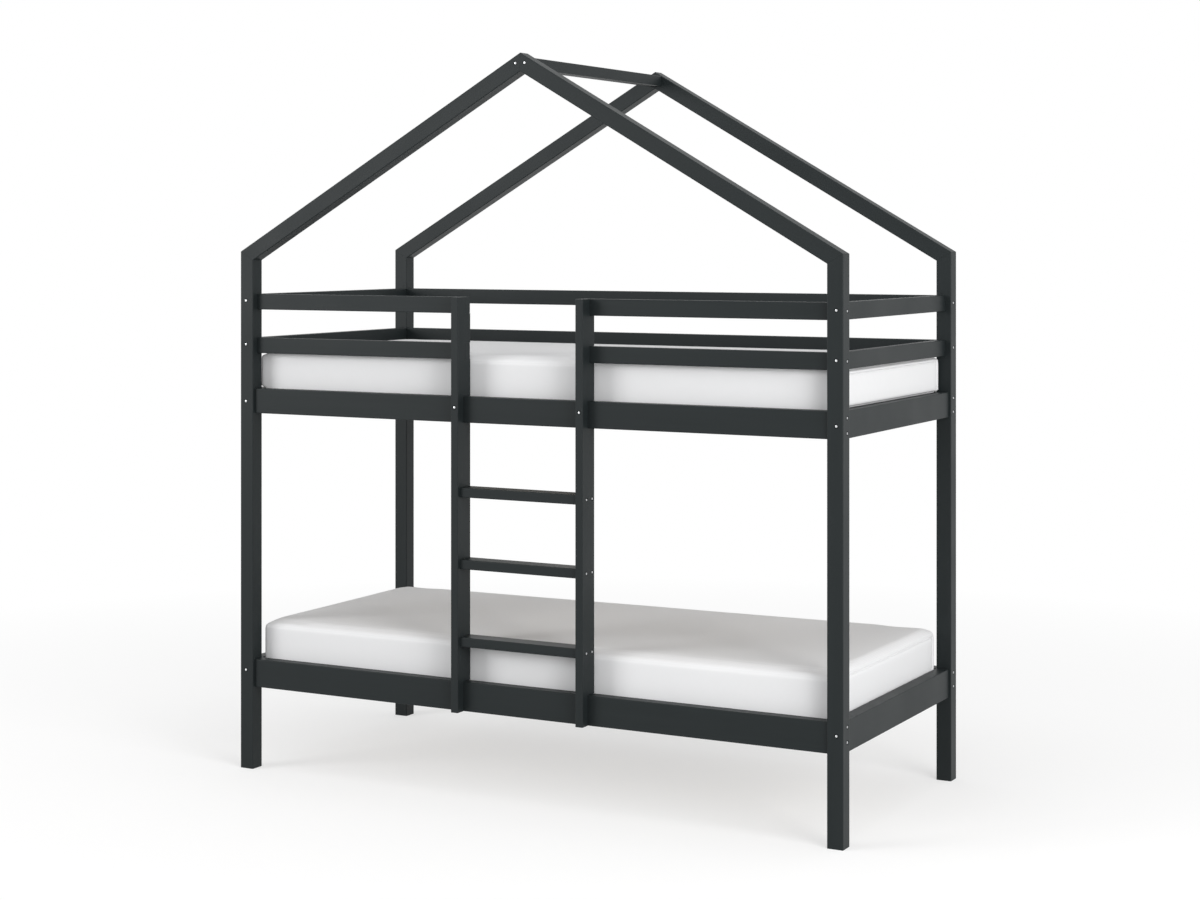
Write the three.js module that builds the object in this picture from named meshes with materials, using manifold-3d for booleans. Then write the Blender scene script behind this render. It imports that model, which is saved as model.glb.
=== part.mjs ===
// A child's house bunk bed: two bunks between four square posts that carry an open gabled roof
// frame, with guard rails round the upper bunk and a fixed ladder bolted to the front.
// Millimetres, +Z up, +X towards the right-hand end, +Y from the ladder side to the back.
// The origin lies on the floor, under the middle of the whole bed with its ladder.

import * as THREE from "three";
import { mergeVertices } from "three/addons/utils/BufferGeometryUtils.js";
import Module from "manifold-3d";

const wasm = await Module();
wasm.setup();

// Posts and roof frame, with the eaves counted from the top guard
const BED_LENGTH = 2000;
const BED_DEPTH = 913;
const POST_SIZE = 47;
const EAVE_RISE = 131.5;
const ROOF_PITCH_DEGREES = 30;
const RAFTER_THICKNESS = 47;
const RIDGE_WIDTH = 47;
const RIDGE_HEIGHT = 33;

// Rails that carry the two bunks, their inner faces flush with the posts'
const FLOOR_CLEARANCE = 252;
const LOWER_RAIL_HEIGHT = 86;
const BUNK_CLEARANCE = 760;
const UPPER_RAIL_HEIGHT = 76;
const SIDE_RAIL_THICKNESS = 37;
const END_RAIL_THICKNESS = 40;

// Guard rails round the upper bunk, their inner faces flush with the posts'
const MID_GUARD_CLEARANCE = 109;
const TOP_GUARD_CLEARANCE = 87;
const GUARD_HEIGHT = 48;
const SIDE_GUARD_THICKNESS = 26;
const END_GUARD_THICKNESS = 28;

// Ladder, with its uprights on edge and notched over the rails behind them. The rungs' tops are
// counted upwards from the lower rail's top, each from the one before.
const LADDER_OFFSET = -2;
const LADDER_PROJECTION = 21.5;
const UPRIGHT_SPACING = 415;
const UPRIGHT_THICKNESS = 24;
const UPRIGHT_DEPTH = 72;
const RUNG_THICKNESS = 28;
const RUNG_SETBACK = 12;
const RUNG_RISES = { bottom: 134, middle: 227, top: 210 };

// Slatted base of each bunk, below the top edges of its rails
const BASE_DROP = 31;
const SLAT_COUNT = 11;
const SLAT_WIDTH = 100;
const SLAT_THICKNESS = 16;
const CLEAT_WIDTH = 20;
const CLEAT_HEIGHT = 27;
const BASE_END_GAP = 3;

// Mattresses, of nominally 190 by 80 cm, which fill the frame but for a small gap
const MATTRESS_GAP = 2;
const MATTRESS_THICKNESS = 152.5;
const MATTRESS_CROWN = 8;
const MATTRESS_DRAW_IN = 2;
const MATTRESS_CORNER_RADIUS = 22;
const MATTRESS_EDGE_ROUNDING = 20;

// Round recesses for the bolt heads
const BOLT_RECESS_RADIUS = 6;
const BOLT_RECESS_DEPTH = 4;
const END_BOLT_INSET = 20;
const FRONT_SIDE_BOLT_INSET = 32;
const BACK_SIDE_BOLT_INSET = 23.5;
const RAIL_BOLT_PAIR_SPACING = 41.5;
const UPPER_RAIL_BOLT_RISE = 36.5;
const LOWER_RAIL_BOLT_RISE = 52;
const SIDE_GUARD_BOLT_RISE = 25;
const END_GUARD_BOLT_RISE = 27.5;
const LADDER_BOLT_RISE = 46;
const RUNG_BOLT_INSET = 13;
const APEX_BOLT_SPACING = 31;

// Small clearance in every joint, and the rounding of the boards' long edges
const FIT_GAP = 0.3;
const EDGE_RADIUS = 2.5;
const SLAT_EDGE_RADIUS = 2;

// Facets: segments of each eased edge are twice its steps
const EDGE_STEPS = 2;
const SLAT_EDGE_STEPS = 1;
const BOLT_RECESS_SEGMENTS = 16;
const MATTRESS_CORNER_LINES = 3;
const MATTRESS_LENGTH_LINES = 10;
const MATTRESS_WIDTH_LINES = 6;
const MATTRESS_HEIGHT_LINES = 2;

// Places worked out from the sizes above
const HALF_LENGTH = BED_LENGTH / 2;
const HALF_DEPTH = BED_DEPTH / 2;
const INNER_X = HALF_LENGTH - POST_SIZE;
const INNER_Y = HALF_DEPTH - POST_SIZE;
const LOWER_RAIL_BOTTOM = FLOOR_CLEARANCE;
const LOWER_RAIL_TOP = LOWER_RAIL_BOTTOM + LOWER_RAIL_HEIGHT;
const UPPER_RAIL_BOTTOM = LOWER_RAIL_TOP + BUNK_CLEARANCE;
const UPPER_RAIL_TOP = UPPER_RAIL_BOTTOM + UPPER_RAIL_HEIGHT;
const MID_GUARD_BOTTOM = UPPER_RAIL_TOP + MID_GUARD_CLEARANCE;
const TOP_GUARD_BOTTOM = MID_GUARD_BOTTOM + GUARD_HEIGHT + TOP_GUARD_CLEARANCE;
const TOP_GUARD_TOP = TOP_GUARD_BOTTOM + GUARD_HEIGHT;
const EAVE_HEIGHT = TOP_GUARD_TOP + EAVE_RISE;
const RAIL_END_X = INNER_X - FIT_GAP;
const RAIL_END_Y = INNER_Y - FIT_GAP;
const ROOF_SLOPE = Math.tan(THREE.MathUtils.degToRad(ROOF_PITCH_DEGREES));
const RAFTER_DROP = RAFTER_THICKNESS * Math.hypot(1, ROOF_SLOPE);
const UPRIGHT_HALF = UPRIGHT_THICKNESS / 2;
// How far the uprights' backs stand out past the posts' inner faces, over the bunks
const UPRIGHT_REACH = Math.max(0, UPRIGHT_DEPTH - LADDER_PROJECTION - POST_SIZE);

const MATERIALS = {
  paint: new THREE.MeshStandardMaterial({ color: 0x3b4041, roughness: 0.55, metalness: 0 }),
  pine: new THREE.MeshStandardMaterial({ color: 0xd9b98a, roughness: 0.7, metalness: 0 }),
  ticking: new THREE.MeshStandardMaterial({ color: 0xf1f1f2, roughness: 0.9, metalness: 0 }),
};

// How a shape drawn across and up, and extruded forwards, is turned to run along each axis
const TURNS = {
  x: { across: "y", up: "z", basis: [[0, 1, 0], [0, 0, 1], [1, 0, 0]] },
  y: { across: "z", up: "x", basis: [[0, 0, 1], [1, 0, 0], [0, 1, 0]] },
  z: { across: "x", up: "y", basis: [[1, 0, 0], [0, 1, 0], [0, 0, 1]] },
};

// The upper surface of the roof over a place along the bed.
function roofHeight(x) {
  return EAVE_HEIGHT + (HALF_LENGTH - Math.abs(x)) * ROOF_SLOPE;
}

// The height of a post's or rafter's mitre at its inner corner.
function innerEaveHeight() {
  return roofHeight(INNER_X) - RAFTER_DROP;
}

// A rectangle about the origin with rounded corners.
function easedRectangle(width, height, radius) {
  const x = width / 2 - radius;
  const y = height / 2 - radius;
  const quarter = Math.PI / 2;
  return new THREE.Shape()
    .absarc(x, y, radius, 0, quarter)
    .absarc(-x, y, radius, quarter, 2 * quarter)
    .absarc(-x, -y, radius, 2 * quarter, 3 * quarter)
    .absarc(x, -y, radius, 3 * quarter, 4 * quarter);
}

// A straight bar about the origin whose long edges are rounded.
function easedBar(size, runs, radius, steps) {
  const { across, up, basis } = TURNS[runs];
  const shape = easedRectangle(size[across], size[up], radius);
  const bar = new THREE.ExtrudeGeometry(shape, {
    depth: size[runs],
    bevelEnabled: false,
    curveSegments: steps,
  });
  bar.translate(0, 0, -size[runs] / 2);
  const columns = basis.map((axis) => new THREE.Vector3(...axis));
  return bar.applyMatrix4(new THREE.Matrix4().makeBasis(...columns));
}

// A board that fills a box, each of whose sides is given as its two ends.
function board(name, runs, x, y, z, material = MATERIALS.paint, radius = EDGE_RADIUS, steps = EDGE_STEPS) {
  const size = { x: x[1] - x[0], y: y[1] - y[0], z: z[1] - z[0] };
  const mesh = new THREE.Mesh(easedBar(size, runs, radius, steps), material);
  mesh.name = name;
  mesh.position.set((x[0] + x[1]) / 2, (y[0] + y[1]) / 2, (z[0] + z[1]) / 2);
  return mesh;
}

// A bar of the posts' depth, cut at a slant at either end: its corners are places [x, z] in the
// plane of the gable, on the bar's outer and inner side.
function mitredBar(thickness, startOuter, startInner, endInner, endOuter) {
  const shape = easedRectangle(thickness, POST_SIZE, EDGE_RADIUS);
  const bar = new THREE.ExtrudeGeometry(shape, {
    depth: 1,
    bevelEnabled: false,
    curveSegments: EDGE_STEPS,
  });
  const outer = new THREE.LineCurve(new THREE.Vector2(...startOuter), new THREE.Vector2(...endOuter));
  const inner = new THREE.LineCurve(new THREE.Vector2(...startInner), new THREE.Vector2(...endInner));
  const points = bar.attributes.position;
  for (let i = 0; i < points.count; i += 1) {
    const inwardShare = points.getX(i) / thickness + 1 / 2;
    const alongShare = points.getZ(i);
    const place = outer.getPoint(alongShare).lerp(inner.getPoint(alongShare), inwardShare);
    points.setXYZ(i, place.x, -points.getY(i), place.y);
  }
  bar.computeVertexNormals();
  return bar;
}

function toSolid(geometry) {
  const bare = geometry.clone();
  bare.deleteAttribute("normal");
  bare.deleteAttribute("uv");
  const merged = mergeVertices(bare);
  const mesh = new wasm.Mesh({
    numProp: 3,
    vertProperties: merged.attributes.position.array,
    triVerts: new Uint32Array(merged.index.array),
  });
  return new wasm.Manifold(mesh);
}

// A geometry with other geometries cut away from it.
function cut(geometry, cutters) {
  const left = cutters.reduce((solid, cutter) => solid.subtract(toSolid(cutter)), toSolid(geometry));
  const mesh = left.getMesh();
  const result = new THREE.BufferGeometry();
  result.setAttribute("position", new THREE.BufferAttribute(mesh.vertProperties, 3));
  result.setIndex(new THREE.BufferAttribute(mesh.triVerts, 1));
  result.computeVertexNormals();
  return result;
}

// What a bolt head's recess takes away: a cylinder with its middle on the face that it sinks into.
function boltRecess(runs, x, y, z) {
  const recess = new THREE.CylinderGeometry(
    BOLT_RECESS_RADIUS,
    BOLT_RECESS_RADIUS,
    2 * BOLT_RECESS_DEPTH,
    BOLT_RECESS_SEGMENTS,
  );
  if (runs === "x") recess.rotateZ(Math.PI / 2);
  return recess.translate(x, y, z);
}

// Heights of the bolts that go through a post into the ends of the side pieces.
function sideBoltHeights() {
  const railMiddles = [LOWER_RAIL_BOTTOM + LOWER_RAIL_BOLT_RISE, UPPER_RAIL_BOTTOM + UPPER_RAIL_BOLT_RISE];
  const half = RAIL_BOLT_PAIR_SPACING / 2;
  return [
    ...railMiddles.flatMap((z) => [z - half, z + half]),
    MID_GUARD_BOTTOM + SIDE_GUARD_BOLT_RISE,
    TOP_GUARD_BOTTOM + SIDE_GUARD_BOLT_RISE,
  ];
}

// Heights of the bolts that go through a post into the ends of the end pieces.
function endBoltHeights() {
  return [
    LOWER_RAIL_BOTTOM + LOWER_RAIL_BOLT_RISE,
    UPPER_RAIL_BOTTOM + UPPER_RAIL_BOLT_RISE,
    MID_GUARD_BOTTOM + END_GUARD_BOLT_RISE,
    TOP_GUARD_BOTTOM + END_GUARD_BOLT_RISE,
  ];
}

// A right-hand post about its own middle across the bed. Outward is -1 at the front, 1 at the back.
function postGeometry(outward, sideBoltInset) {
  const mitreDrop = FIT_GAP * Math.hypot(1, ROOF_SLOPE);
  const bar = mitredBar(
    POST_SIZE,
    [HALF_LENGTH, 0],
    [INNER_X, 0],
    [INNER_X, innerEaveHeight() - mitreDrop],
    [HALF_LENGTH, EAVE_HEIGHT - mitreDrop],
  );
  const face = (outward * POST_SIZE) / 2;
  const sideBoltY = face - outward * sideBoltInset;
  return cut(bar, [
    ...sideBoltHeights().map((z) => boltRecess("x", HALF_LENGTH, sideBoltY, z)),
    ...endBoltHeights().map((z) => boltRecess("y", HALF_LENGTH - END_BOLT_INSET, face, z)),
  ]);
}

// A right-hand rafter about its own middle across the bed.
function rafterGeometry(outward) {
  const apex = FIT_GAP / 2;
  const bar = mitredBar(
    RAFTER_THICKNESS,
    [HALF_LENGTH, EAVE_HEIGHT],
    [INNER_X, innerEaveHeight()],
    [apex, roofHeight(apex) - RAFTER_DROP],
    [apex, roofHeight(apex)],
  );
  const boltHeight = roofHeight(RIDGE_WIDTH / 2) - RIDGE_HEIGHT / 2;
  return cut(bar, [boltRecess("y", APEX_BOLT_SPACING / 2, (outward * POST_SIZE) / 2, boltHeight)]);
}

// One end of the bed, drawn as the right-hand one: two posts, two rafters and the pieces between
// the posts. The left-hand end is its mirror image.
function endFrame(side) {
  const frame = new THREE.Group();
  const rows = [
    { row: "front", outward: -1, sideBoltInset: FRONT_SIDE_BOLT_INSET },
    { row: "back", outward: 1, sideBoltInset: BACK_SIDE_BOLT_INSET },
  ];
  for (const { row, outward, sideBoltInset } of rows) {
    const post = new THREE.Mesh(postGeometry(outward, sideBoltInset), MATERIALS.paint);
    post.name = `post_${row}_${side}`;
    const rafter = new THREE.Mesh(rafterGeometry(outward), MATERIALS.paint);
    rafter.name = `rafter_${row}_${side}`;
    for (const mesh of [post, rafter]) mesh.position.y = outward * (HALF_DEPTH - POST_SIZE / 2);
    frame.add(post, rafter);
  }
  const across = [-RAIL_END_Y, RAIL_END_Y];
  const rail = [INNER_X, INNER_X + END_RAIL_THICKNESS];
  const guard = [INNER_X, INNER_X + END_GUARD_THICKNESS];
  frame.add(
    board(`end_rail_lower_${side}`, "y", rail, across, span(LOWER_RAIL_BOTTOM, LOWER_RAIL_HEIGHT)),
    board(`end_rail_upper_${side}`, "y", rail, across, span(UPPER_RAIL_BOTTOM, UPPER_RAIL_HEIGHT)),
    board(`guard_rail_mid_end_${side}`, "y", guard, across, span(MID_GUARD_BOTTOM, GUARD_HEIGHT)),
    board(`guard_rail_top_end_${side}`, "y", guard, across, span(TOP_GUARD_BOTTOM, GUARD_HEIGHT)),
  );
  if (side === "left") frame.scale.x = -1;
  return frame;
}

// The two ends of a stretch from its start and its length.
function span(start, length) {
  return [start, start + length];
}

// The beam along the top, between the two gables. Its top corners lie in the roof's surfaces.
function ridgeBeam() {
  const half = RIDGE_WIDTH / 2;
  const top = roofHeight(half);
  return board("ridge_beam", "y", [-half, half], [-RAIL_END_Y, RAIL_END_Y], [top - RIDGE_HEIGHT, top]);
}

// The long rails and guards. The front guards leave the way in between the ladder's uprights open.
function lengthwiseRails() {
  const rails = new THREE.Group();
  const full = [-RAIL_END_X, RAIL_END_X];
  const wayInHalf = UPRIGHT_SPACING / 2 - UPRIGHT_HALF;
  const frontLeft = [-RAIL_END_X, LADDER_OFFSET - wayInHalf];
  const frontRight = [LADDER_OFFSET + wayInHalf, RAIL_END_X];
  const railHeights = {
    lower: span(LOWER_RAIL_BOTTOM, LOWER_RAIL_HEIGHT),
    upper: span(UPPER_RAIL_BOTTOM, UPPER_RAIL_HEIGHT),
  };
  for (const [level, z] of Object.entries(railHeights)) {
    rails.add(
      board(`side_rail_${level}_front`, "x", full, [-INNER_Y - SIDE_RAIL_THICKNESS, -INNER_Y], z),
      board(`side_rail_${level}_back`, "x", full, [INNER_Y, INNER_Y + SIDE_RAIL_THICKNESS], z),
    );
  }
  const guardBottoms = { mid: MID_GUARD_BOTTOM, top: TOP_GUARD_BOTTOM };
  for (const [level, bottom] of Object.entries(guardBottoms)) {
    const z = span(bottom, GUARD_HEIGHT);
    const front = [-INNER_Y - SIDE_GUARD_THICKNESS, -INNER_Y];
    rails.add(
      board(`guard_rail_${level}_front_left`, "x", frontLeft, front, z),
      board(`guard_rail_${level}_front_right`, "x", frontRight, front, z),
      board(`guard_rail_${level}_back`, "x", full, [INNER_Y, INNER_Y + SIDE_GUARD_THICKNESS], z),
    );
  }
  return rails;
}

// The height of each rung's top.
function rungTops() {
  const tops = {};
  let top = LOWER_RAIL_TOP;
  for (const [place, rise] of Object.entries(RUNG_RISES)) {
    top += rise;
    tops[place] = top;
  }
  return tops;
}

// A box that cuts an upright's notch over a rail, from the front of the rail backwards.
function notchBox(railThickness, bottom, top) {
  const front = LADDER_PROJECTION + POST_SIZE - railThickness - FIT_GAP;
  const back = 2 * UPRIGHT_DEPTH;
  const notch = new THREE.BoxGeometry(2 * UPRIGHT_THICKNESS, back - front, top - bottom + 2 * FIT_GAP);
  return notch.translate(0, (front + back) / 2, (bottom + top) / 2);
}

// The ladder's right-hand upright, with its front face at zero and its middle over zero. The
// lowest notch is open at the bottom and the highest one at the top.
function uprightGeometry() {
  const bottom = LOWER_RAIL_BOTTOM;
  const size = { x: UPRIGHT_THICKNESS, y: UPRIGHT_DEPTH, z: TOP_GUARD_TOP - bottom };
  const bar = easedBar(size, "z", EDGE_RADIUS, EDGE_STEPS);
  bar.translate(0, UPRIGHT_DEPTH / 2, bottom + size.z / 2);
  const rungBoltYs = [RUNG_SETBACK + RUNG_BOLT_INSET, UPRIGHT_DEPTH - RUNG_BOLT_INSET];
  const rungMiddles = Object.values(rungTops()).map((top) => top - RUNG_THICKNESS / 2);
  return cut(bar, [
    notchBox(SIDE_RAIL_THICKNESS, bottom - LOWER_RAIL_HEIGHT, LOWER_RAIL_TOP),
    notchBox(SIDE_RAIL_THICKNESS, UPPER_RAIL_BOTTOM, UPPER_RAIL_TOP),
    notchBox(SIDE_GUARD_THICKNESS, MID_GUARD_BOTTOM, MID_GUARD_BOTTOM + GUARD_HEIGHT),
    notchBox(SIDE_GUARD_THICKNESS, TOP_GUARD_BOTTOM, TOP_GUARD_TOP + GUARD_HEIGHT),
    boltRecess("y", 0, 0, UPPER_RAIL_BOTTOM + LADDER_BOLT_RISE),
    ...rungMiddles.flatMap((z) => rungBoltYs.map((y) => boltRecess("x", UPRIGHT_HALF, y, z))),
  ]);
}

function ladder() {
  const group = new THREE.Group();
  group.position.set(LADDER_OFFSET, -HALF_DEPTH - LADDER_PROJECTION, 0);
  for (const [side, sign] of Object.entries({ left: -1, right: 1 })) {
    const upright = new THREE.Mesh(uprightGeometry(), MATERIALS.paint);
    upright.name = `ladder_upright_${side}`;
    upright.position.x = (sign * UPRIGHT_SPACING) / 2;
    upright.scale.x = sign;
    group.add(upright);
  }
  const half = UPRIGHT_SPACING / 2 - UPRIGHT_HALF - FIT_GAP;
  for (const [place, top] of Object.entries(rungTops())) {
    const z = [top - RUNG_THICKNESS, top];
    group.add(board(`ladder_rung_${place}`, "x", [-half, half], [RUNG_SETBACK, UPRIGHT_DEPTH], z));
  }
  return group;
}

// Cleats along the side rails and the slats on them, with the slats' tops at zero.
function slattedBase(level) {
  const group = new THREE.Group();
  const cleatEnd = INNER_X - BASE_END_GAP;
  const cleatTop = -SLAT_THICKNESS - FIT_GAP;
  const cleatY = [RAIL_END_Y - CLEAT_WIDTH, RAIL_END_Y];
  for (const [row, sign] of Object.entries({ front: -1, back: 1 })) {
    const y = cleatY.map((place) => sign * place).sort((a, b) => a - b);
    const z = [cleatTop - CLEAT_HEIGHT, cleatTop];
    group.add(board(`slat_cleat_${level}_${row}`, "x", [-cleatEnd, cleatEnd], y, z));
  }
  const pitch = (2 * INNER_X) / SLAT_COUNT;
  const slatEnd = INNER_Y - BASE_END_GAP;
  for (let i = 0; i < SLAT_COUNT; i += 1) {
    const middle = (i + 1 / 2) * pitch - INNER_X;
    const x = [middle - SLAT_WIDTH / 2, middle + SLAT_WIDTH / 2];
    const number = String(i + 1).padStart(2, "0");
    group.add(
      board(
        `slat_${level}_${number}`,
        "y",
        x,
        [-slatEnd, slatEnd],
        [-SLAT_THICKNESS, 0],
        MATERIALS.pine,
        SLAT_EDGE_RADIUS,
        SLAT_EDGE_STEPS,
      ),
    );
  }
  return group;
}

// Where grid line i of a side lies: close together within the rounded ends, evenly spread between.
function gridLine(i, half, rounding, middleLines) {
  const last = 2 * MATTRESS_CORNER_LINES + middleLines;
  if (i <= MATTRESS_CORNER_LINES) return -half + (rounding * i) / MATTRESS_CORNER_LINES;
  if (i >= last - MATTRESS_CORNER_LINES) return half - (rounding * (last - i)) / MATTRESS_CORNER_LINES;
  const flat = half - rounding;
  return -flat + (2 * flat * (i - MATTRESS_CORNER_LINES)) / middleLines;
}

// A mattress standing on zero: a block with rounded edges, a low crown on top and sides that pull
// in a little between the corners.
function mattressGeometry() {
  const half = new THREE.Vector3(
    INNER_X - MATTRESS_GAP,
    INNER_Y - UPRIGHT_REACH - MATTRESS_GAP,
    (MATTRESS_THICKNESS - MATTRESS_CROWN) / 2,
  );
  const rounding = new THREE.Vector3(
    MATTRESS_CORNER_RADIUS,
    MATTRESS_CORNER_RADIUS,
    MATTRESS_EDGE_ROUNDING,
  );
  const middleLines = new THREE.Vector3(
    MATTRESS_LENGTH_LINES,
    MATTRESS_WIDTH_LINES,
    MATTRESS_HEIGHT_LINES,
  );
  const lines = middleLines.clone().addScalar(2 * MATTRESS_CORNER_LINES);
  const block = new THREE.BoxGeometry(...lines, ...lines);
  const points = block.attributes.position;
  const flat = half.clone().sub(rounding);
  const place = new THREE.Vector3();
  for (let i = 0; i < points.count; i += 1) {
    place.fromBufferAttribute(points, i);
    for (const axis of ["x", "y", "z"]) {
      const line = Math.round(place[axis] + lines[axis] / 2);
      place[axis] = gridLine(line, half[axis], rounding[axis], middleLines[axis]);
    }
    const core = place.clone().clamp(flat.clone().negate(), flat);
    const proud = place.clone().sub(core).divide(rounding);
    place.copy(core).add(proud.normalize().multiply(rounding));
    const share = place.clone().divide(half);
    const lengthBulge = 1 - share.x * share.x;
    const widthBulge = 1 - share.y * share.y;
    const heightShare = (share.z + 1) / 2;
    const crownShare = (1 - share.x ** 4) * (1 - share.y ** 4) * heightShare;
    place.x -= MATTRESS_DRAW_IN * share.x * widthBulge * (1 - share.z * share.z);
    place.y -= MATTRESS_DRAW_IN * share.y * lengthBulge * (1 - share.z * share.z);
    place.z += half.z + MATTRESS_CROWN * crownShare;
    points.setXYZ(i, place.x, place.y, place.z);
  }
  block.computeVertexNormals();
  return block;
}

// The slatted base and mattress of one bunk, with the slats' tops at the given height.
function bunk(level, baseTop) {
  const group = new THREE.Group();
  group.position.z = baseTop;
  const mattress = new THREE.Mesh(mattressGeometry(), MATERIALS.ticking);
  mattress.name = `mattress_${level}`;
  mattress.position.z = FIT_GAP;
  group.add(slattedBase(level), mattress);
  return group;
}

const bed = new THREE.Group();
bed.position.y = LADDER_PROJECTION / 2;
bed.add(
  endFrame("left"),
  endFrame("right"),
  ridgeBeam(),
  lengthwiseRails(),
  ladder(),
  bunk("lower", LOWER_RAIL_TOP - BASE_DROP),
  bunk("upper", UPPER_RAIL_TOP - BASE_DROP),
);

const houseBunkBed = new THREE.Group();
houseBunkBed.add(bed);

export default houseBunkBed;
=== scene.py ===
"""A child's house bunk bed in anthracite paint: its finishes, mattresses and bolt heads, on a pale
studio floor. Metres, +Z up, +X towards the right-hand end, +Y from the ladder side to the back."""

import math

import bmesh
import bpy
from mathutils import Euler, Matrix, Vector


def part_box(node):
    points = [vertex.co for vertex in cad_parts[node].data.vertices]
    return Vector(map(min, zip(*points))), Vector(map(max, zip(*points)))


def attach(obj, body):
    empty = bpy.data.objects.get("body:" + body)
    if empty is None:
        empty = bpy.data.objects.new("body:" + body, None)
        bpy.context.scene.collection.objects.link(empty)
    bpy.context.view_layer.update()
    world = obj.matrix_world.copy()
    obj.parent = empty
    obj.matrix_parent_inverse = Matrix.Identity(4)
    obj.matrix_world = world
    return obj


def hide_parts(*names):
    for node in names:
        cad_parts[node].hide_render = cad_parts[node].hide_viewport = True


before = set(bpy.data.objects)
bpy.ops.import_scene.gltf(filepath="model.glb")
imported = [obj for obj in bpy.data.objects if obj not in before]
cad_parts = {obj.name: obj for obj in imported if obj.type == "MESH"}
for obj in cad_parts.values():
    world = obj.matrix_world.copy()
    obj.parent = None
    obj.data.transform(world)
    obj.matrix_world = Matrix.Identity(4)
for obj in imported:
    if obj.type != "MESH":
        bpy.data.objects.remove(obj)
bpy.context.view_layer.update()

# Camera, as the photograph was taken: level, with the picture shifted down
CAMERA_PLACE = (3.2545, -6.03865, 1.6428)
CAMERA_TURN = math.radians(28.147)
CAMERA_LENS = 67.22
CAMERA_SHIFT = -0.17765
CAMERA_REACH = 100.0
SENSOR_WIDTH = 36.0

# Colours of the finishes, linear
PAINT = (0.0141, 0.0180, 0.0189)
PAINT_DEEP = (0.0123, 0.0160, 0.0168)
PINE_EARLY = (0.760, 0.635, 0.465)
PINE_LATE = (0.600, 0.430, 0.260)
PINE_KNOT = (0.230, 0.120, 0.060)
TICKING = (0.795, 0.797, 0.803)
TICKING_SHADE = (0.740, 0.742, 0.750)
STEEL = (0.72, 0.73, 0.74)
STEEL_SHADE = (0.66, 0.67, 0.68)

# In the finishes below, a stretch is how dense a pattern is along and across the grain. A range is
# the part of a pattern that counts, a tint such a part and the shares of the second colour that it
# brings, and a relief a strength and a depth.

# Paint: the grain and the pores of the wood under it, an uneven film and a fine stipple
GRAIN_STRETCH = (2.0, 38.0, 38.0)
GRAIN_RANGE = (0.35, 0.70)
GRAIN_RELIEF = (0.35, 0.0007)
PORE_STRETCH = (14.0, 420.0, 420.0)
PORE_RELIEF = (0.30, 0.00022)
STIPPLE_SCALE = 900.0
STIPPLE_RELIEF = (0.12, 0.0001)
FILM_SCALE = 5.0
FILM_TINT = (0.35, 0.65, 0.0, 0.5)
FILM_RANGE = (0.3, 0.7)
PAINT_ROUGHNESS = (0.43, 0.49)
PAINT_SPECULAR = 0.17

# Pine: growth rings about a pith that wanders, with fine fibres and a few knots
RING_SCALE = 42.0
RING_DISTORTION = 2.2
RING_TINT = (0.25, 0.95, 0.0, 0.75)
RING_RELIEF = (0.25, 0.0003)
PITH_PLACE = (0.0, 0.0, 0.055)
PITH_STRETCH = (0.35, 1.0, 1.0)
WANDER_STRETCH = (1.4, 7.0, 7.0)
FIBRE_STRETCH = (9.0, 380.0, 380.0)
FIBRE_TINT = (0.30, 0.75, 0.0, 0.22)
FIBRE_RELIEF = (0.35, 0.0002)
KNOT_STRETCH = (0.55, 1.0, 1.0)
KNOT_SCALE = 5.5
KNOT_TINT = (0.045, 0.085, 1.0, 0.0)
PINE_ROUGHNESS = (0.66, 0.52)
PINE_SPECULAR = 0.35

# Ticking: fine ribs, a fuzz of yarn ends, and soft dents from the filling
RIB_SCALE = 105.0
RIB_DISTORTION = 0.4
RIB_RANGE = (0.6, 2.4)
RIB_RELIEF = (0.35, 0.00025)
FUZZ_SCALE = 1400.0
FUZZ_RELIEF = (0.20, 0.0002)
DENT_SCALE = 7.0
DENT_RELIEF = (0.25, 0.006)
TICKING_ROUGHNESS = 0.85
TICKING_SPECULAR = 0.15
TICKING_SHEEN = 0.06
TICKING_SHEEN_ROUGHNESS = 0.45

# Steel: the polish varies a little
POLISH_SCALE = 300.0
POLISH_RANGE = (0.3, 0.7)
POLISH_RELIEF = (0.15, 0.0001)
STEEL_ROUGHNESS = (0.32, 0.44)

# Roof, for the rafters' grain
ROOF_PITCH = math.radians(30)

# Bolts: the recess that each head sits in, the gap under the head, and the head
RECESS_DEPTH = 0.004
HEAD_GAP = 0.00005
HEAD_RADIUS = 0.0035
HEAD_HEIGHT = 0.0039
HEAD_EDGE = 0.0008
HEAD_SEGMENTS = 24
HEAD_EDGE_SEGMENTS = 2
HEAD_CREASE = math.radians(35)
SOCKET_RADIUS = 0.0016
SOCKET_DEPTH = 0.0016
HEXAGON_STEP = math.radians(60)

# Places of the bolts, from the faces that they go through
RAIL_BOLT_HEIGHTS = (0.28325, 0.32475, 1.11375, 1.15525, 1.308, 1.443)
END_BOLT_HEIGHTS = (0.304, 1.1345, 1.3105, 1.4455)
RAIL_BOLT_INSETS = {"front": 0.032, "back": 0.0235}
END_BOLT_INSET = 0.020
LADDER_BOLT_HEIGHT = 1.144
RUNG_SCREW_HEIGHTS = (0.458, 0.685, 0.895)
RUNG_SCREW_SETBACKS = (0.025, 0.059)
APEX_SCREW_HALF_SPACING = 0.0155
APEX_SCREW_HEIGHT = 2.14478

# The two rows of posts and the two ends of the bed, each with its outward direction
ROWS = (("front", -1.0), ("back", 1.0))
ENDS = (("left", -1.0), ("right", 1.0))

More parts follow.
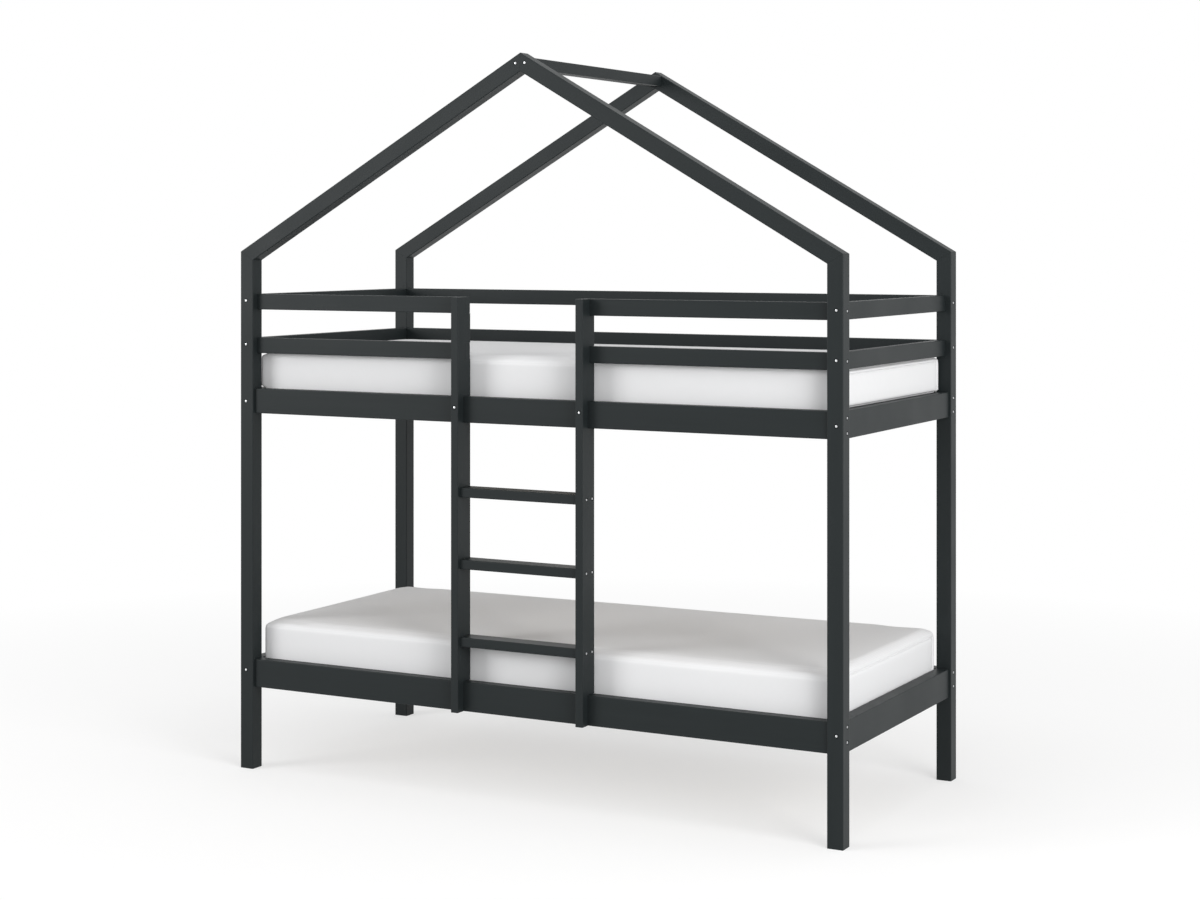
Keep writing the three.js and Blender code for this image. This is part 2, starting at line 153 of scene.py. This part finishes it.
# Mattress: a cover that wraps round it lengthwise, with an end panel sewn in at either end
MATTRESS_SIDE_EASE = 0.0005
MATTRESS_END_EASE = 0.0011
MATTRESS_RIM = 0.021
MATTRESS_RIM_SEGMENTS = 5
MATTRESS_CELL = 0.022
CORNER_SQUARENESS = 7.0
SEAM_GROOVE = 0.0042
SEAM_MARGIN = 0.004
PIPING_RADIUS = 0.0017
PIPING_SINK = 0.0026
PIPING_CORNER = 0.012
PIPING_CORNER_SEGMENTS = 6
PIPING_ROUNDNESS = 2

# Filling: a cloth simulation under pressure, and the most that it may move the cover
CLOTH_FRAMES = 20
CLOTH_PRESSURE = 4.0
CLOTH_QUALITY = 6
CLOTH_MASS = 0.3
CLOTH_STIFFNESS = 20.0
CLOTH_BENDING = 2.0
END_SWELL = 0.0008
SIDE_SWELL = 0.0012
CROWN_RISE = 0.0085

# How much the lower mattress's top rises at its right-hand end and falls at its left
LOWER_LEAN = 0.0045

# Where the upper mattress stands out over its end rails, under the guards
OVERHANG = 0.014
OVERHANG_RISE = 0.006
OVERHANG_FALL = 0.012
OVERHANG_CUTS = 4
OVERHANG_RUN = 0.120
RAIL_CLEARANCE = 0.0015

# How near two places are the same, for a cut, a merge and a seam
CUT_TOLERANCE = 1e-6
MERGE_TOLERANCE = 1e-5
SEAM_TOLERANCE = 1e-4

# Studio: the floor fades to white with distance, and the surround is white
WHITE = (1.0, 1.0, 1.0)
FLOOR_TONE = (0.50, 0.50, 0.50)
FLOOR_RADIUS = 40.0
FLOOR_SEGMENTS = 96
FLOOR_FADE = (1.2, 4.0)
FLOOR_WHITENESS = (0.55, 1.0)
SURROUND_LIGHT = 0.53
BACKDROP_LIGHT = 1.0

# Lamps, all facing one point: place, width, height and power in watts
LAMP_TARGET = (0.0, 0.0, 1.0)
LAMPS = {
    "key_right": ((6.2, -3.0, 2.9), 3.6, 3.2, 242.0),
    "low_right": ((5.6, -4.6, 1.4), 3.0, 2.2, 116.0),
    "fill_left": ((-5.6, -5.9, 2.9), 3.4, 2.8, 266.0),
    "top": ((0.3, -0.8, 6.0), 3.5, 3.0, 58.0),
}


def node_of(tree, kind, inputs=None, **settings):
    """Adds a shader node, with each input linked from a socket or set to a value."""
    node = tree.nodes.new(kind)
    for name, value in settings.items():
        setattr(node, name, value)
    for name, value in (inputs or {}).items():
        if isinstance(value, bpy.types.NodeSocket):
            tree.links.new(value, node.inputs[name])
        else:
            node.inputs[name].default_value = value
    return node


def new_material(name):
    """An empty node material and its tree, with the output node."""
    material = bpy.data.materials.new(name)
    material.use_nodes = True
    tree = material.node_tree
    tree.nodes.clear()
    return material, tree, tree.nodes.new("ShaderNodeOutputMaterial")


def surface(tree, output, inputs):
    """Gives a material its principled shader."""
    shader = node_of(tree, "ShaderNodeBsdfPrincipled", inputs)
    tree.links.new(shader.outputs["BSDF"], output.inputs["Surface"])


def mix_colour(tree, factor, first, second):
    """The mix of two colours, each a socket or a value."""
    pair = [(*colour, 1.0) if isinstance(colour, tuple) else colour for colour in (first, second)]
    node = tree.nodes.new("ShaderNodeMix")
    node.data_type = "RGBA"
    for index, value in ((0, factor), (6, pair[0]), (7, pair[1])):
        if isinstance(value, bpy.types.NodeSocket):
            tree.links.new(value, node.inputs[index])
        else:
            node.inputs[index].default_value = value
    return node.outputs[2]


def ramp(tree, value, low, high, start=0.0, end=1.0):
    """A value remapped from the range low to high onto the range start to end, and held there."""
    inputs = {"Value": value, "From Min": low, "From Max": high, "To Min": start, "To Max": end}
    return node_of(tree, "ShaderNodeMapRange", inputs, clamp=True).outputs["Result"]


def object_place(tree, turn=(0.0, 0.0, 0.0), stretch=(1.0, 1.0, 1.0)):
    """Object coordinates turned so that X runs along the grain, then stretched."""
    place = tree.nodes.new("ShaderNodeTexCoord").outputs["Object"]
    inputs = {"Vector": place, "Rotation": turn}
    turned = node_of(tree, "ShaderNodeMapping", inputs, vector_type="TEXTURE")
    inputs = {"Vector": turned.outputs["Vector"], "Scale": stretch}
    return node_of(tree, "ShaderNodeMapping", inputs, vector_type="POINT").outputs["Vector"]


def noise(tree, place, scale, detail=2.0, roughness=0.5):
    """Soft cloudy noise from 0 to 1."""
    inputs = {"Vector": place, "Scale": scale, "Detail": detail, "Roughness": roughness}
    return node_of(tree, "ShaderNodeTexNoise", inputs).outputs["Fac"]


def bump(tree, height, strength, distance, normal=None):
    """A surface normal tilted by a height, on top of an earlier one where it is given."""
    inputs = {"Height": height, "Strength": strength, "Distance": distance}
    if normal is not None:
        inputs["Normal"] = normal
    return node_of(tree, "ShaderNodeBump", inputs).outputs["Normal"]


def painted_wood(name, turn):
    """Satin anthracite paint on planed softwood, whose grain shows through as a faint relief."""
    material, tree, output = new_material(name)
    streaks = noise(tree, object_place(tree, turn, GRAIN_STRETCH), 1.0, detail=5.0, roughness=0.62)
    pores = noise(tree, object_place(tree, turn, PORE_STRETCH), 1.0)
    film = noise(tree, object_place(tree), FILM_SCALE)
    stipple = noise(tree, object_place(tree), STIPPLE_SCALE, detail=1.0)
    tone = mix_colour(tree, ramp(tree, streaks, *GRAIN_RANGE), PAINT_DEEP, PAINT)
    tone = mix_colour(tree, ramp(tree, film, *FILM_TINT), tone, PAINT)
    relief = bump(tree, streaks, *GRAIN_RELIEF)
    relief = bump(tree, pores, *PORE_RELIEF, relief)
    relief = bump(tree, stipple, *STIPPLE_RELIEF, relief)
    inputs = {
        "Base Color": tone,
        "Roughness": ramp(tree, film, *FILM_RANGE, *PAINT_ROUGHNESS),
        "Specular IOR Level": PAINT_SPECULAR,
        "Normal": relief,
    }
    surface(tree, output, inputs)
    return material


def bare_pine():
    """Planed pine for the slats, which run across the bed: growth rings, fine fibres and knots."""
    material, tree, output = new_material("slat_pine")
    along_y = (0.0, 0.0, math.radians(90))
    wander = noise(tree, object_place(tree, along_y, WANDER_STRETCH), 1.0)
    place = object_place(tree, along_y, PITH_STRETCH)
    drift = node_of(tree, "ShaderNodeVectorMath", {0: place, 1: PITH_PLACE}, operation="ADD")
    pair = {0: drift.outputs[0], 1: wander}
    bent = node_of(tree, "ShaderNodeVectorMath", pair, operation="ADD")
    inputs = {
        "Vector": bent.outputs[0],
        "Scale": RING_SCALE,
        "Distortion": RING_DISTORTION,
        "Detail": 2.0,
        "Detail Scale": 1.4,
    }
    settings = {"wave_type": "RINGS", "rings_direction": "X", "wave_profile": "SAW"}
    rings = node_of(tree, "ShaderNodeTexWave", inputs, **settings).outputs["Fac"]
    fibres = noise(tree, object_place(tree, along_y, FIBRE_STRETCH), 1.0, detail=3.0)
    inputs = {"Vector": object_place(tree, along_y, KNOT_STRETCH), "Scale": KNOT_SCALE}
    cells = node_of(tree, "ShaderNodeTexVoronoi", inputs).outputs["Distance"]
    tone = mix_colour(tree, ramp(tree, rings, *RING_TINT), PINE_EARLY, PINE_LATE)
    tone = mix_colour(tree, ramp(tree, fibres, *FIBRE_TINT), tone, PINE_LATE)
    tone = mix_colour(tree, ramp(tree, cells, *KNOT_TINT), tone, PINE_KNOT)
    relief = bump(tree, rings, *RING_RELIEF)
    relief = bump(tree, fibres, *FIBRE_RELIEF, relief)
    inputs = {
        "Base Color": tone,
        "Roughness": ramp(tree, rings, 0.0, 1.0, *PINE_ROUGHNESS),
        "Specular IOR Level": PINE_SPECULAR,
        "Normal": relief,
    }
    surface(tree, output, inputs)
    return material


def mattress_ticking():
    """White knitted cover: fine ribs on every face, soft dents and a light sheen."""
    material, tree, output = new_material("mattress_ticking")
    place = object_place(tree)
    ribs = []
    for direction in ("X", "Y", "Z"):
        inputs = {
            "Vector": place,
            "Scale": RIB_SCALE,
            "Distortion": RIB_DISTORTION,
            "Detail": 1.0,
        }
        settings = {"wave_type": "BANDS", "bands_direction": direction}
        ribs.append(node_of(tree, "ShaderNodeTexWave", inputs, **settings).outputs["Fac"])
    weave = ribs[0]
    for rib in ribs[1:]:
        weave = node_of(tree, "ShaderNodeMath", {0: weave, 1: rib}, operation="ADD").outputs[0]
    fuzz = noise(tree, place, FUZZ_SCALE, detail=1.0)
    dents = noise(tree, place, DENT_SCALE, roughness=0.45)
    tone = mix_colour(tree, ramp(tree, weave, *RIB_RANGE), TICKING_SHADE, TICKING)
    relief = bump(tree, dents, *DENT_RELIEF)
    relief = bump(tree, weave, *RIB_RELIEF, relief)
    relief = bump(tree, fuzz, *FUZZ_RELIEF, relief)
    inputs = {
        "Base Color": tone,
        "Roughness": TICKING_ROUGHNESS,
        "Specular IOR Level": TICKING_SPECULAR,
        "Sheen Weight": TICKING_SHEEN,
        "Sheen Roughness": TICKING_SHEEN_ROUGHNESS,
        "Normal": relief,
    }
    surface(tree, output, inputs)
    return material


def plated_steel():
    """Zinc-plated steel, bright with a slightly uneven polish."""
    material, tree, output = new_material("bolt_steel")
    polish = noise(tree, object_place(tree), POLISH_SCALE, detail=3.0)
    inputs = {
        "Base Color": mix_colour(tree, polish, STEEL_SHADE, STEEL),
        "Metallic": 1.0,
        "Roughness": ramp(tree, polish, *POLISH_RANGE, *STEEL_ROUGHNESS),
        "Normal": bump(tree, polish, *POLISH_RELIEF),
    }
    surface(tree, output, inputs)
    return material


def grain_turn(name):
    """The way that the grain runs in a painted piece, and the turn that lays it along it."""
    if name.startswith(("post", "ladder_upright")):
        return "upright", (0.0, math.radians(-90), 0.0)
    if name.startswith("rafter"):
        if name.endswith("left"):
            return "rising", (0.0, -ROOF_PITCH, 0.0)
        return "falling", (0.0, ROOF_PITCH, 0.0)
    if name.startswith(("end_rail", "ridge")) or "_end_" in name:
        return "across", (0.0, 0.0, math.radians(90))
    return "lengthwise", (0.0, 0.0, 0.0)


def finish_frame():
    """Gives every solid of the frame its finish."""
    pine = bare_pine()
    paints = {}
    for name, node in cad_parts.items():
        if name.startswith("mattress"):
            continue
        if name.startswith("slat_") and "cleat" not in name:
            finish = pine
        else:
            run, turn = grain_turn(name)
            if run not in paints:
                paints[run] = painted_wood(f"frame_paint_{run}", turn)
            finish = paints[run]
        for slot in node.material_slots:
            slot.material = finish


def piece_from(name, bm, finish):
    """Turns a bmesh into a smooth piece that rides on the bed and takes a finish."""
    mesh = bpy.data.meshes.new(name)
    bm.to_mesh(mesh)
    bm.free()
    piece = bpy.data.objects.new(name, mesh)
    bpy.context.scene.collection.objects.link(piece)
    mesh.materials.append(finish)
    mesh.shade_smooth()
    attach(piece, "root")
    return piece


def keep_creases(mesh, angle):
    """Keeps the edges crisp that are sharper than an angle."""
    bm = bmesh.new()
    bm.from_mesh(mesh)
    for edge in bm.edges:
        edge.smooth = len(edge.link_faces) == 2 and edge.calc_face_angle() < angle
    bm.to_mesh(mesh)
    bm.free()


def extruded(bm, face, rise):
    """Extrudes a face along Z and returns the new one."""
    made = bmesh.ops.extrude_face_region(bm, geom=[face])["geom"]
    end = next(item for item in made if isinstance(item, bmesh.types.BMFace))
    bmesh.ops.translate(bm, verts=end.verts, vec=(0.0, 0.0, rise))
    return end


def bolt_head():
    """A flat round head with a hexagon socket. It stands on the origin and faces up."""
    bm = bmesh.new()
    disc = bmesh.ops.create_circle(bm, cap_ends=True, segments=HEAD_SEGMENTS, radius=HEAD_RADIUS)
    base = disc["verts"][0].link_faces[0]
    top = extruded(bm, base, HEAD_HEIGHT)
    bmesh.ops.reverse_faces(bm, faces=[base])
    bmesh.ops.bevel(
        bm,
        geom=list(top.edges),
        offset=HEAD_EDGE,
        segments=HEAD_EDGE_SEGMENTS,
        profile=0.5,
        affect="EDGES",
        material=-1,
    )
    rounds = [face for face in bm.faces if len(face.verts) == HEAD_SEGMENTS]
    top = max(rounds, key=lambda face: face.calc_center_median().z)
    land = HEAD_RADIUS - HEAD_EDGE - SOCKET_RADIUS
    bmesh.ops.inset_region(bm, faces=[top], thickness=land)
    for vert in top.verts:
        sector = math.atan2(vert.co.y, vert.co.x) % HEXAGON_STEP - HEXAGON_STEP / 2
        reach = SOCKET_RADIUS * math.cos(HEXAGON_STEP / 2) / math.cos(sector)
        vert.co.xy = vert.co.xy.normalized() * reach
    extruded(bm, top, -SOCKET_DEPTH)
    bmesh.ops.delete(bm, geom=[top], context="FACES_ONLY")
    return bm


def bolt_set(name, places, finish):
    """One object that holds the bolt heads of one piece. Each place is a point on the piece's face
    and the direction outwards. The head is seated in its recess below it."""
    joined = bmesh.new()
    for place, outward in places:
        head = bolt_head()
        seat = Vector(place) - Vector(outward) * (RECESS_DEPTH - HEAD_GAP)
        turn = Vector(outward).to_track_quat("Z", "Y").to_matrix().to_4x4()
        bmesh.ops.transform(head, matrix=Matrix.Translation(seat) @ turn, verts=head.verts)
        bmesh.ops.recalc_face_normals(head, faces=head.faces)
        mesh = bpy.data.meshes.new("head")
        head.to_mesh(mesh)
        head.free()
        joined.from_mesh(mesh)
        bpy.data.meshes.remove(mesh)
    heads = piece_from(name, joined, finish)
    keep_creases(heads.data, HEAD_CREASE)


def post_bolts(row, front, side, right, finish):
    """The bolts of one post: those into the end rails and guards, and those into the long ones."""
    low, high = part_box(f"post_{row}_{side}")
    face_x = high[0] if right > 0 else low[0]
    face_y = high[1] if front > 0 else low[1]
    rail_y = face_y - front * RAIL_BOLT_INSETS[row]
    end_x = face_x - right * END_BOLT_INSET
    places = [((face_x, rail_y, z), (right, 0.0, 0.0)) for z in RAIL_BOLT_HEIGHTS]
    places += [((end_x, face_y, z), (0.0, front, 0.0)) for z in END_BOLT_HEIGHTS]
    bolt_set(f"bolts_post_{row}_{side}", places, finish)


def apex_screws(row, front, finish):
    """The screws of one gable, through its rafters into the ridge beam."""
    low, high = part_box(f"rafter_{row}_right")
    face_y = high[1] if front > 0 else low[1]
    spots = (-APEX_SCREW_HALF_SPACING, APEX_SCREW_HALF_SPACING)
    places = [((x, face_y, APEX_SCREW_HEIGHT), (0.0, front, 0.0)) for x in spots]
    bolt_set(f"screws_apex_{row}", places, finish)


def ladder_bolts(side, right, finish):
    """The bolt of one ladder upright into the upper rail, and its screws into the rungs."""
    low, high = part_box(f"ladder_upright_{side}")
    middle = (low[0] + high[0]) / 2
    face_x = high[0] if right > 0 else low[0]
    places = [((middle, low[1], LADDER_BOLT_HEIGHT), (0.0, -1.0, 0.0))]
    bolt_set(f"bolt_ladder_{side}", places, finish)
    places = [
        ((face_x, low[1] + setback, z), (right, 0.0, 0.0))
        for z in RUNG_SCREW_HEIGHTS
        for setback in RUNG_SCREW_SETBACKS
    ]
    bolt_set(f"screws_rung_{side}", places, finish)


def make_bolts():
    """The heads of the bolts and screws, in the recesses of the pieces that they go through."""
    finish = plated_steel()
    for row, front in ROWS:
        for side, right in ENDS:
            post_bolts(row, front, side, right, finish)
        apex_screws(row, front, finish)
    for side, right in ENDS:
        ladder_bolts(side, right, finish)


def split_across(bm, axis, places):
    """Cuts the whole mesh by planes across an axis."""
    normal = Vector((0.0, 0.0, 0.0))
    normal[axis] = 1.0
    for place in places:
        bmesh.ops.bisect_plane(
            bm,
            geom=[*bm.verts, *bm.edges, *bm.faces],
            dist=CUT_TOLERANCE,
            plane_co=normal * place,
            plane_no=normal,
        )


def even_places(low, high, cell):
    """Places between two ends, evenly spread and no further apart than a cell."""
    count = math.ceil((high - low) / cell)
    return [low + (high - low) * i / count for i in range(count + 1)]


def eased(value, start, end):
    """0 up to the start, 1 from the end on, and smooth between them."""
    share = min(max((value - start) / (end - start), 0.0), 1.0)
    return share * share * (3.0 - 2.0 * share)


def past_core(value, low, high):
    """How far a place lies past the flat part between two rims, with its sign."""
    return max(value - high + MATTRESS_RIM, 0.0) + min(value - low - MATTRESS_RIM, 0.0)


def square_corners(bm, low, high):
    """Makes the upright corners tighter than the rims."""
    for vert in bm.verts:
        out_x = past_core(vert.co.x, low.x, high.x)
        out_y = past_core(vert.co.y, low.y, high.y)
        if min(abs(out_x), abs(out_y)) < CUT_TOLERANCE:
            continue
        reach = math.hypot(out_x, out_y)
        power = CORNER_SQUARENESS
        spread = (abs(out_x / reach) ** power + abs(out_y / reach) ** power) ** (-1.0 / power)
        vert.co.x += out_x * (spread - 1.0)
        vert.co.y += out_y * (spread - 1.0)


def mattress_block(low, high):
    """The cover before it is filled: a block with rounded edges, cut into a grid."""
    bm = bmesh.new()
    bmesh.ops.create_cube(bm, size=1.0)
    bmesh.ops.scale(bm, vec=high - low, verts=bm.verts)
    bmesh.ops.translate(bm, vec=(low + high) / 2, verts=bm.verts)
    bmesh.ops.bevel(
        bm,
        geom=list(bm.edges),
        offset=MATTRESS_RIM,
        segments=MATTRESS_RIM_SEGMENTS,
        profile=0.5,
        affect="EDGES",
        material=-1,
    )
    margin = MATTRESS_RIM + SEAM_MARGIN
    for axis in range(3):
        start, end = low[axis] + MATTRESS_RIM, high[axis] - MATTRESS_RIM
        split_across(bm, axis, even_places(start, end, MATTRESS_CELL))
        split_across(bm, axis, (low[axis] + margin, high[axis] - margin))
    bmesh.ops.remove_doubles(bm, verts=bm.verts, dist=MERGE_TOLERANCE)
    square_corners(bm, low, high)
    bmesh.ops.recalc_face_normals(bm, faces=bm.faces)
    return bm


def on_end_seam(place, low, high):
    """Whether a point of the block lies on the outline of an end panel."""
    if min(abs(place.x - low.x), abs(place.x - high.x)) > SEAM_TOLERANCE:
        return False
    inset = min(
        abs(place.y - low.y - MATTRESS_RIM),
        abs(high.y - MATTRESS_RIM - place.y),
        abs(place.z - low.z - MATTRESS_RIM),
        abs(high.z - MATTRESS_RIM - place.z),
    )
    return inset < SEAM_TOLERANCE


def sew_ends(cover, low, high):
    """Draws the cover in along the seams of its end panels."""
    middle = (low.x + high.x) / 2
    for vert in cover.data.vertices:
        if on_end_seam(vert.co, low, high):
            vert.co.x -= math.copysign(SEAM_GROOVE, vert.co.x - middle)


def soft_limit(value, most):
    """A value held softly within a limit on either side of zero."""
    return most * math.tanh(value / most)


def fill_cover(cover, low):
    """Fills the cover by a cloth simulation under pressure, held at its base, and keeps the swell
    within its limits."""
    mesh = cover.data
    start = [vert.co.copy() for vert in mesh.vertices]
    held = cover.vertex_groups.new(name="held")
    base = low.z + MATTRESS_RIM / 2
    held.add([i for i, place in enumerate(start) if place.z < base], 1.0, "REPLACE")
    cloth = cover.modifiers.new("filling", "CLOTH")
    cloth.point_cache.frame_end = CLOTH_FRAMES
    settings = cloth.settings
    settings.quality = CLOTH_QUALITY
    settings.mass = CLOTH_MASS
    settings.tension_stiffness = CLOTH_STIFFNESS
    settings.compression_stiffness = CLOTH_STIFFNESS
    settings.bending_stiffness = CLOTH_BENDING
    settings.use_pressure = True
    settings.uniform_pressure_force = CLOTH_PRESSURE
    settings.effector_weights.gravity = 0.0
    settings.vertex_group_mass = held.name
    scene = bpy.context.scene
    for number in range(1, CLOTH_FRAMES + 1):
        scene.frame_set(number)
    filled = cover.evaluated_get(bpy.context.evaluated_depsgraph_get()).to_mesh()
    moves = [vert.co - first for vert, first in zip(filled.vertices, start)]
    cover.modifiers.remove(cloth)
    cover.vertex_groups.remove(held)
    scene.frame_set(1)
    for vert, first, move in zip(mesh.vertices, start, moves):
        swell = (
            soft_limit(move.x, END_SWELL),
            soft_limit(move.y, SIDE_SWELL),
            soft_limit(max(move.z, 0.0), CROWN_RISE),
        )
        vert.co = first + Vector(swell)


def smoothed(cover):
    """The cover's mesh, once subdivided."""
    smoother = cover.modifiers.new("smoother", "SUBSURF")
    smoother.levels = smoother.render_levels = 1
    finished = cover.evaluated_get(bpy.context.evaluated_depsgraph_get())
    mesh = bpy.data.meshes.new_from_object(finished)
    cover.modifiers.remove(smoother)
    return mesh


def panel_outline(low, high, end_x):
    """The corners of an end panel's outline, in order and rounded."""
    panel = bmesh.new()
    bmesh.ops.create_grid(panel, x_segments=1, y_segments=1, size=0.5)
    upright = Matrix.Rotation(math.radians(90), 3, "Y")
    bmesh.ops.rotate(panel, matrix=upright, verts=panel.verts)
    size = high - low - Vector((0.0, 2 * MATTRESS_RIM, 2 * MATTRESS_RIM))
    bmesh.ops.scale(panel, vec=(1.0, size.y, size.z), verts=panel.verts)
    middle = (low + high) / 2
    bmesh.ops.translate(panel, vec=(end_x, middle.y, middle.z), verts=panel.verts)
    bmesh.ops.bevel(
        panel,
        geom=list(panel.verts),
        offset=PIPING_CORNER,
        segments=PIPING_CORNER_SEGMENTS,
        profile=0.5,
        affect="VERTICES",
        material=-1,
    )
    places = [loop.vert.co.copy() for face in panel.faces for loop in face.loops]
    panel.free()
    return places


def end_piping(low, high, end_x):
    """The piping of one end panel: a thin tube round its outline."""
    places = panel_outline(low, high, end_x)
    curve = bpy.data.curves.new("piping", "CURVE")
    curve.dimensions = "3D"
    curve.bevel_depth = PIPING_RADIUS
    curve.bevel_resolution = PIPING_ROUNDNESS
    line = curve.splines.new("POLY")
    line.points.add(len(places) - 1)
    line.use_cyclic_u = True
    for point, place in zip(line.points, places):
        point.co = (*place, 1.0)
    holder = bpy.data.objects.new("piping", curve)
    tube = bpy.data.meshes.new_from_object(holder)
    bpy.data.objects.remove(holder)
    bpy.data.curves.remove(curve)
    return tube


def stand_out(cover, reach):
    """Lets the ends of the upper mattress stand out a little, over the end rails and under the
    guards."""
    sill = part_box("end_rail_upper_right")[1][2] + RAIL_CLEARANCE
    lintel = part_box("guard_rail_mid_end_right")[0][2]
    steps = [i / OVERHANG_CUTS for i in range(OVERHANG_CUTS + 1)]
    split_across(cover, 2, [sill + OVERHANG_RISE * step for step in steps])
    split_across(cover, 2, [lintel - OVERHANG_FALL * step for step in steps])
    for vert in cover.verts:
        up = eased(vert.co.z, sill, sill + OVERHANG_RISE)
        down = 1.0 - eased(vert.co.z, lintel - OVERHANG_FALL, lintel)
        near = eased(abs(vert.co.x), reach - OVERHANG_RUN, reach)
        vert.co.x += math.copysign(OVERHANG * up * down * near, vert.co.x)


def lean_up(cover, low, high):
    """Leaves the lower mattress a little fuller towards its right-hand end."""
    for vert in cover.verts:
        height = (vert.co.z - low.z) / (high.z - low.z)
        along = 2.0 * (vert.co.x - low.x) / (high.x - low.x) - 1.0
        vert.co.z += LOWER_LEAN * height * along


def make_mattress(level, finish):
    """A mattress in its white cover, piped round its end panels."""
    node = f"mattress_{level}"
    low, high = (Vector(corner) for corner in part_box(node))
    low.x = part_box(f"end_rail_{level}_left")[1][0] + MATTRESS_END_EASE
    high.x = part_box(f"end_rail_{level}_right")[0][0] - MATTRESS_END_EASE
    low.y += MATTRESS_SIDE_EASE
    high.y -= MATTRESS_SIDE_EASE
    high.z -= CROWN_RISE
    block = mattress_block(low, high)
    cover = piece_from(f"mattress_{level}_cover", block, finish)
    sew_ends(cover, low, high)
    fill_cover(cover, low)
    joined = bmesh.new()
    pipings = [end_piping(low, high, x) for x in (low.x + PIPING_SINK, high.x - PIPING_SINK)]
    for part in (smoothed(cover), *pipings):
        joined.from_mesh(part)
        bpy.data.meshes.remove(part)
    if level == "upper":
        stand_out(joined, high.x)
    else:
        lean_up(joined, low, high)
    joined.to_mesh(cover.data)
    joined.free()
    cover.data.shade_smooth()
    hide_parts(node)


def seen_directly(tree):
    """1 for a ray from the camera, or one that a shiny or clear surface sends on; otherwise 0."""
    paths = tree.nodes.new("ShaderNodeLightPath")
    seen = paths.outputs["Is Camera Ray"]
    for kind in ("Is Glossy Ray", "Is Transmission Ray"):
        pair = {0: seen, 1: paths.outputs[kind]}
        seen = node_of(tree, "ShaderNodeMath", pair, operation="MAXIMUM").outputs[0]
    return seen


def floor_finish():
    """Pale floor that is darker for bounced light, and fades to white away from the bed."""
    material, tree, output = new_material("studio_floor")
    seen = seen_directly(tree)
    tone = mix_colour(tree, seen, FLOOR_TONE, WHITE)
    lit = node_of(tree, "ShaderNodeBsdfDiffuse", {"Color": tone})
    glow = node_of(tree, "ShaderNodeEmission", {"Color": (*WHITE, 1.0), "Strength": 1.0})
    length = node_of(tree, "ShaderNodeVectorMath", {0: object_place(tree)}, operation="LENGTH")
    whiter = ramp(tree, length.outputs["Value"], *FLOOR_FADE, *FLOOR_WHITENESS)
    fade = node_of(tree, "ShaderNodeMath", {0: whiter, 1: seen}, operation="MULTIPLY")
    shaders = {0: fade.outputs[0], 1: lit.outputs[0], 2: glow.outputs[0]}
    mixed = node_of(tree, "ShaderNodeMixShader", shaders)
    tree.links.new(mixed.outputs[0], output.inputs["Surface"])
    return material


def make_floor():
    """A wide pale floor that keeps the bed's shadow."""
    bm = bmesh.new()
    bmesh.ops.create_circle(bm, cap_ends=True, segments=FLOOR_SEGMENTS, radius=FLOOR_RADIUS)
    mesh = bpy.data.meshes.new("studio_floor")
    bm.to_mesh(mesh)
    bm.free()
    floor = bpy.data.objects.new("studio_floor", mesh)
    mesh.materials.append(floor_finish())
    bpy.context.scene.collection.objects.link(floor)


def make_world():
    """Even white light from all round, and a white background."""
    world = bpy.data.worlds.new("studio")
    bpy.context.scene.world = world
    world.use_nodes = True
    tree = world.node_tree
    tree.nodes.clear()
    light, backdrop = (
        node_of(tree, "ShaderNodeBackground", {"Color": (*WHITE, 1.0), "Strength": strength})
        for strength in (SURROUND_LIGHT, BACKDROP_LIGHT)
    )
    shaders = {0: seen_directly(tree), 1: light.outputs[0], 2: backdrop.outputs[0]}
    mixed = node_of(tree, "ShaderNodeMixShader", shaders)
    output = tree.nodes.new("ShaderNodeOutputWorld")
    tree.links.new(mixed.outputs[0], output.inputs["Surface"])


def softbox(name, place, width, height, power):
    """A rectangular lamp that faces the bed."""
    lamp = bpy.data.lights.new(name, "AREA")
    lamp.shape = "RECTANGLE"
    lamp.size = width
    lamp.size_y = height
    lamp.energy = power
    holder = bpy.data.objects.new(name, lamp)
    holder.location = place
    aim = Vector(LAMP_TARGET) - Vector(place)
    holder.rotation_euler = aim.to_track_quat("-Z", "Y").to_euler()
    bpy.context.scene.collection.objects.link(holder)


def make_lights():
    """Soft studio light: the main lamps on the right, a fill on the left and a weak top light."""
    for name, (place, width, height, power) in LAMPS.items():
        softbox(name, place, width, height, power)


def make_camera():
    """The camera at the photograph's place and angle."""
    data = bpy.data.cameras.new("camera")
    data.sensor_width = SENSOR_WIDTH
    data.sensor_fit = "HORIZONTAL"
    data.lens = CAMERA_LENS
    data.shift_y = CAMERA_SHIFT
    data.clip_end = CAMERA_REACH
    camera = bpy.data.objects.new("camera", data)
    camera.location = CAMERA_PLACE
    camera.rotation_euler = Euler((math.radians(90), 0.0, CAMERA_TURN))
    bpy.context.scene.collection.objects.link(camera)
    bpy.context.scene.camera = camera


make_camera()
finish_frame()
make_bolts()
ticking = mattress_ticking()
for level in ("lower", "upper"):
    make_mattress(level, ticking)
make_floor()
make_world()
make_lights()
bpy.context.scene.view_settings.view_transform = "Standard"
